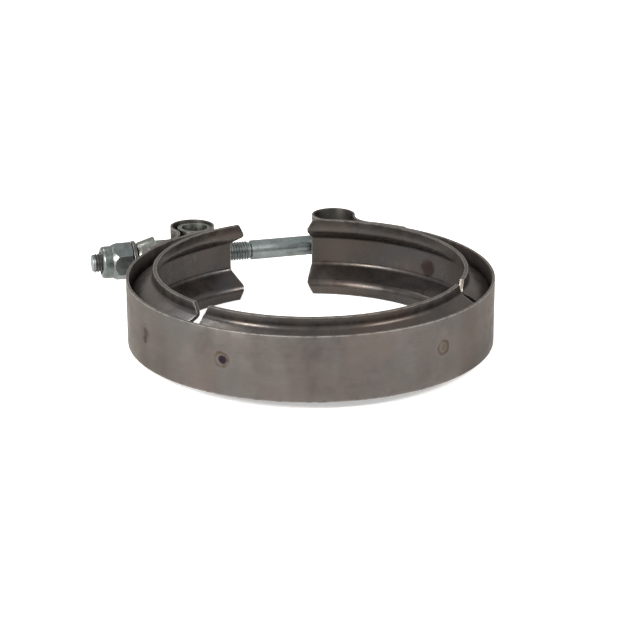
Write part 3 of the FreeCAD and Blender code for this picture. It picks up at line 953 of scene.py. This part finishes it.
def nylon(name):
    """Moulded nylon: slightly cloudy, with small dark specks."""
    material, tree, shader, place = start_material(name)
    patches = use_group(tree, MOTTLE, {"Vector": place, "Scale": 260.0})
    colour = blend(tree, patches.outputs["Large"], (0.085, 0.094, 0.102), (0.12, 0.13, 0.142))
    specks = use_group(tree, SPECKS, {"Vector": place, "Scale": 2200.0, "Size": 0.16}).outputs["Mask"]
    colour = blend(tree, maths(tree, "MULTIPLY", specks, 0.4), colour, (0.05, 0.05, 0.05))
    tree.links.new(colour, shader.inputs["Base Color"])
    tree.links.new(spread(tree, patches.outputs["Small"], 0.0, 1.0, 0.4, 0.55), shader.inputs["Roughness"])
    shader.inputs["IOR"].default_value = 1.53
    set_bump(tree, shader, patches.outputs["Small"], 0.00003, 0.4)
    return material


# ------------------------------------------------------------------ the object

def finish_piece(piece, node, body, material):
    """Stands a finished piece in for its CAD node."""
    smooth(piece)
    piece.data.materials.clear()
    piece.data.materials.append(material)
    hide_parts(node)
    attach(piece, body)


def weld(angle, height, radius, sheet, ring_share, ring_tone, core_share, core_tone, aside=0.0):
    """One spot weld's mark, on a sheet at a radius. Its core may sit aside, in degrees round the ring."""
    return (polar(sheet, angle, height), polar(sheet, angle + aside, height), radius,
            ring_share, ring_tone, core_share, core_tone)


def strip_marks():
    brown = (0.055, 0.04, 0.03)
    burnt = (0.028, 0.022, 0.024)
    straw = (0.075, 0.061, 0.045)
    return [
        weld(-132.5, 0.0009, 0.0023, BAND_RADIUS, 0.9, brown, 1.0, (0.014, 0.009, 0.014), 0.35),
        weld(-62.4, 0.0011, 0.0022, BAND_RADIUS, 1.0, brown, 0.85, straw, 0.4),
        weld(-165.2, 0.0011, 0.0028, BAND_RADIUS, 0.3, brown, 0.85, burnt),
        weld(-165.9, -0.0011, 0.0022, BAND_RADIUS, 0.2, brown, 0.75, burnt),
        weld(158.0, 0.0006, 0.0023, BAND_RADIUS, 0.8, brown, 0.9, burnt, 0.3),
        weld(29.9, -0.0008, 0.0023, BAND_RADIUS, 0.8, brown, 0.7, straw),
        weld(-13.0, 0.0004, 0.0023, BAND_RADIUS, 0.8, brown, 0.8, burnt, -0.3),
    ]


def web_marks():
    inside = WEB_RADIUS - RETAINER_SHEET / 2
    rust = (0.019, 0.01, 0.0095)
    return [weld(angle, height, WELD_SHADOW, inside, 0.0, rust, 0.9, rust) for angle, height in WELDS]


def build_clamp():
    strip_steel = steel(
        "strip_steel", dark=(0.059, 0.051, 0.048), light=(0.113, 0.103, 0.098),
        warm=(0.103, 0.082, 0.073), cool=(0.082, 0.081, 0.077), metallic=0.85, rough=0.4,
        grain_share=0.16, hatch_share=0.04, wear_and_highlight_share=0.6, marks=strip_marks(),
        shaded_loop_insides=[Vector((side * LOOP_X, BOLT_Y, 0)) for side in (-1, 1)])
    # The retainers' darker base colour is partly the sheet's own tone and partly painted shade, for the shade
    # inside the ring.
    retainer_steel = steel(
        "retainer_steel", dark=(0.032, 0.028, 0.026), light=(0.066, 0.058, 0.054),
        warm=(0.064, 0.047, 0.04), cool=(0.041, 0.042, 0.047), metallic=0.64, rough=0.3,
        grain_share=0.2, hatch_share=0.2, wear_and_highlight_share=0.5, marks=web_marks())
    bolt_plating = plated(
        "bolt_plating", dark=(0.115, 0.137, 0.142), light=(0.215, 0.236, 0.232),
        stain=(0.124, 0.127, 0.112), rough_low=0.31, rough_high=0.42, pits=0.25, wear_and_highlight_share=0.15,
        oiled_from=nut_low[0] + OIL_LINE)
    trunnion_plating = plated(
        "trunnion_plating", dark=(0.115, 0.12, 0.108), light=(0.175, 0.182, 0.167),
        stain=(0.12, 0.112, 0.09), rough_low=0.28, rough_high=0.38, pits=0.3, wear_and_highlight_share=0.5)
    nut_plating = plated(
        "nut_plating", dark=(0.1, 0.115, 0.112), light=(0.17, 0.19, 0.185),
        stain=(0.1, 0.1, 0.084), rough_low=0.29, rough_high=0.4, pits=0.3, wear_and_highlight_share=0.4)
    washer_plating = plated(
        "washer_plating", dark=(0.07, 0.07, 0.068), light=(0.13, 0.13, 0.126),
        stain=(0.08, 0.075, 0.065), rough_low=0.28, rough_high=0.42, pits=0.35, wear_and_highlight_share=0.3)
    finish_piece(make_strip(), "band", "clamp", strip_steel)
    for node, piece in make_retainers().items():
        finish_piece(piece, node, "clamp", retainer_steel)
    finish_piece(make_t_bolt(), "t_bolt", "clamp", bolt_plating)
    finish_piece(make_trunnion(), "trunnion", "clamp", trunnion_plating)
    finish_piece(make_washer(), "washer", "washer_ride", washer_plating)
    finish_piece(make_lock_nut(), "lock_nut", "nut", nut_plating)
    finish_piece(make_nut_insert(), "nut_insert", "nut", nylon("insert_nylon"))


# ------------------------------------------------------------------ studio

FLOOR_SIZE = 6
FLOOR_GLOW = 0.46                # added where the camera or the metal sees the floor
SURROUND_LIGHT = 0.55            # what the surround lights with, where seen it is 1
CAMERA_PLACE = Vector((-0.17358, -0.62364, 0.22643))
CAMERA_TARGET = Vector((0.002365, -0.002383, -0.004608))
CAMERA_LENS = 123.65             # millimetres, on a 36 mm sensor
CAMERA_SENSOR = 36


def make_floor():
    """A pale floor under the lips, lifted to the backdrop's white where the camera sees it."""
    clear_selection()
    bpy.ops.mesh.primitive_plane_add(size=FLOOR_SIZE, location=(0, 0, -lip_top()))
    floor = bpy.context.object
    floor.name = "studio_floor"
    place_in_mesh(floor)
    material, tree, shader, place = start_material("floor_paint")
    cloud = noise(tree, place, 3.0, 2.0)
    tree.links.new(blend(tree, cloud, (0.9, 0.9, 0.895), (0.94, 0.94, 0.94)), shader.inputs["Base Color"])
    shader.inputs["Roughness"].default_value = 0.95
    light_path = add(tree, "ShaderNodeLightPath")
    seen = maths(tree, "MAXIMUM", light_path.outputs["Is Camera Ray"], light_path.outputs["Is Glossy Ray"])
    strength = maths(tree, "MULTIPLY", seen, FLOOR_GLOW)
    glow = add(tree, "ShaderNodeEmission", {"Color": (1, 1, 1, 1), "Strength": strength})
    both = add(tree, "ShaderNodeAddShader", {0: shader.outputs[0], 1: glow.outputs[0]})
    tree.links.new(both.outputs[0], tree.nodes["Material Output"].inputs["Surface"])
    floor.data.materials.append(material)


def make_world():
    """A white surround, seen directly or in the metal, that gives a softer level of light."""
    world = bpy.data.worlds.new("studio_surround")
    world.use_nodes = True
    tree = world.node_tree
    light_path = add(tree, "ShaderNodeLightPath")
    seen = maths(tree, "MAXIMUM", light_path.outputs["Is Camera Ray"], light_path.outputs["Is Glossy Ray"])
    seen = maths(tree, "MAXIMUM", seen, light_path.outputs["Is Transmission Ray"])
    strength = maths(tree, "ADD", maths(tree, "MULTIPLY", seen, 1 - SURROUND_LIGHT), SURROUND_LIGHT)
    background = tree.nodes["Background"]
    background.inputs["Color"].default_value = (1, 1, 1, 1)
    tree.links.new(strength, background.inputs["Strength"])
    bpy.context.scene.world = world


def make_lamp(name, place, width, height, watts, colour):
    """A soft rectangular lamp that faces the clamp."""
    clear_selection()
    bpy.ops.object.light_add(type="AREA", location=place)
    lamp = bpy.context.object
    lamp.name = name
    lamp.data.shape = "RECTANGLE"
    lamp.data.size = width
    lamp.data.size_y = height
    lamp.data.energy = watts
    lamp.data.color = colour
    lamp.rotation_euler = (-Vector(place)).to_track_quat("-Z", "Y").to_euler()


def make_camera():
    clear_selection()
    bpy.ops.object.camera_add(location=CAMERA_PLACE)
    camera = bpy.context.object
    camera.data.lens = CAMERA_LENS
    camera.data.sensor_width = CAMERA_SENSOR
    camera.rotation_euler = (CAMERA_TARGET - CAMERA_PLACE).to_track_quat("-Z", "Y").to_euler()
    bpy.context.scene.camera = camera


build_clamp()
make_floor()
make_world()
make_lamp("overhead", (-0.27, 0.42, 0.66), width=0.24, height=0.24, watts=2.2, colour=(1.0, 0.985, 0.96))
make_lamp("left", (-0.56, -0.31, 0.4), width=0.1, height=0.3, watts=7.8, colour=(1.0, 0.95, 0.89))
make_lamp("right", (0.5, -0.5, 0.5), width=0.1, height=0.24, watts=5.2, colour=(1.0, 0.96, 0.91))
make_camera()
bpy.context.scene.view_settings.view_transform = "Standard"
